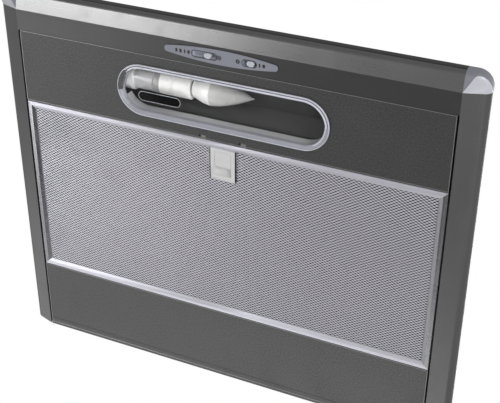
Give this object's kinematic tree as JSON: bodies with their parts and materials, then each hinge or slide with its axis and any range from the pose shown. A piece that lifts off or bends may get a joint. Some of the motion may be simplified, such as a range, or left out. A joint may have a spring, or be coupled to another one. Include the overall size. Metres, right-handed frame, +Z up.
{
  "type": "range hood",
  "caption": "Slim wall or under-cabinet range hood with a rounded tray, slider controls, lamp, hinged grease filter, blower and round duct collar.",
  "frame": {"origin": "middle of the lower edge of the flat wall face, level with the flat underside", "axes": "+X to the right as seen from the front, +Y back to the wall, +Z up"},
  "size_m": [0.6, 0.4928, 0.1931],
  "materials": {
    "satin_steel": "satin",
    "panel_steel": "fine metallic",
    "cap_silver": "silver lacquer",
    "plate_silver": "satin",
    "filter_aluminium": "bright",
    "white_plastic": "satin",
    "dark_plastic": "satin",
    "grey_plastic": "satin",
    "clear_plastic": "clear",
    "lamp_white": "frosted",
    "label_black": "matt",
    "zinc": "zinc plated",
    "spring_steel": "bright"
  },
  "bodies": {
    "hood": {"canopy": "satin_steel", "canopy_top": "satin_steel", "canopy_end_left": "satin_steel", "canopy_end_right": "satin_steel", "rear_plate": "satin_steel", "front_profile": "satin_steel", "side_strip_left": "satin_steel", "side_strip_right": "satin_steel", "corner_cap_left": "cap_silver", "corner_cap_right": "cap_silver", "rear_panel": "panel_steel", "lamp_panel": "panel_steel", "lamp_housing": "zinc", "lamp_reflector": "white_plastic", "lamp_cup": "grey_plastic", "lamp_holder": "white_plastic", "candle_lamp": "lamp_white", "control_plate": "plate_silver", "fan_switch": "dark_plastic", "light_switch": "dark_plastic", "blower_housing_left": "grey_plastic", "blower_housing_right": "grey_plastic", "motor": "zinc", "motor_bracket": "zinc", "inlet_guard_left": "dark_plastic", "inlet_guard_right": "dark_plastic", "outlet_collar": "dark_plastic", "damper_pin": "spring_steel", "capacitor": "white_plastic", "capacitor_clip": "zinc", "terminal_box": "white_plastic", "terminal_cover": "white_plastic", "terminal_block": "white_plastic", "cable_gland": "dark_plastic", "wire_loom": "label_black", "sheet_screws": "zinc", "housing_screws": "zinc", "collar_screws": "zinc"},
    "filter": {"filter_frame": "filter_aluminium", "filter_mesh_lower": "filter_aluminium", "filter_pad": "filter_aluminium", "filter_mesh_upper": "filter_aluminium", "filter_tabs": "zinc", "tab_rivets": "zinc", "latch_plate": "white_plastic", "latch_springs": "spring_steel"},
    "latch": {"latch_slider": "white_plastic"},
    "fan_knob": {"fan_knob": "plate_silver"},
    "light_knob": {"light_knob": "plate_silver"},
    "lens": {"lens": "clear_plastic", "lens_label": "label_black"},
    "impeller": {"impeller": "dark_plastic", "motor_shaft": "spring_steel"},
    "flap_front": {"damper_flap_front": "grey_plastic"},
    "flap_rear": {"damper_flap_rear": "grey_plastic"}
  },
  "joints": [
    {"name": "filter_hinge", "type": "hinge", "parent": "hood", "child": "filter", "pos_m": [0, -0.10375, 0], "axis": [1, 0, 0], "range_deg": [0, 75]},
    {"name": "latch_slide", "type": "slide", "parent": "filter", "child": "latch", "axis": [0, 1, 0], "range_m": [0, 0.005], "stiffness_N_per_m": 400, "springref_m": -0.01, "deforming": ["latch_springs"]},
    {"name": "fan_slide", "type": "slide", "parent": "hood", "child": "fan_knob", "axis": [1, 0, 0], "range_m": [-0.0146, 0.0066]},
    {"name": "light_slide", "type": "slide", "parent": "hood", "child": "light_knob", "axis": [1, 0, 0], "range_m": [-0.0053, 0.0019]},
    {"name": "lens_pull", "type": "slide", "parent": "hood", "child": "lens", "axis": [0, 0, -1], "range_m": [0, 0.04]},
    {"name": "impeller_spin", "type": "hinge", "parent": "hood", "child": "impeller", "pos_m": [0, -0.091, 0.078], "axis": [1, 0, 0], "continuous": true},
    {"name": "flap_front_hinge", "type": "hinge", "parent": "hood", "child": "flap_front", "pos_m": [0, -0.13, 0.16], "axis": [-1, 0, 0], "range_deg": [0, 78]},
    {"name": "flap_rear_hinge", "type": "hinge", "parent": "hood", "child": "flap_rear", "pos_m": [0, -0.13, 0.16], "axis": [1, 0, 0], "range_deg": [0, 78]}
  ]
}
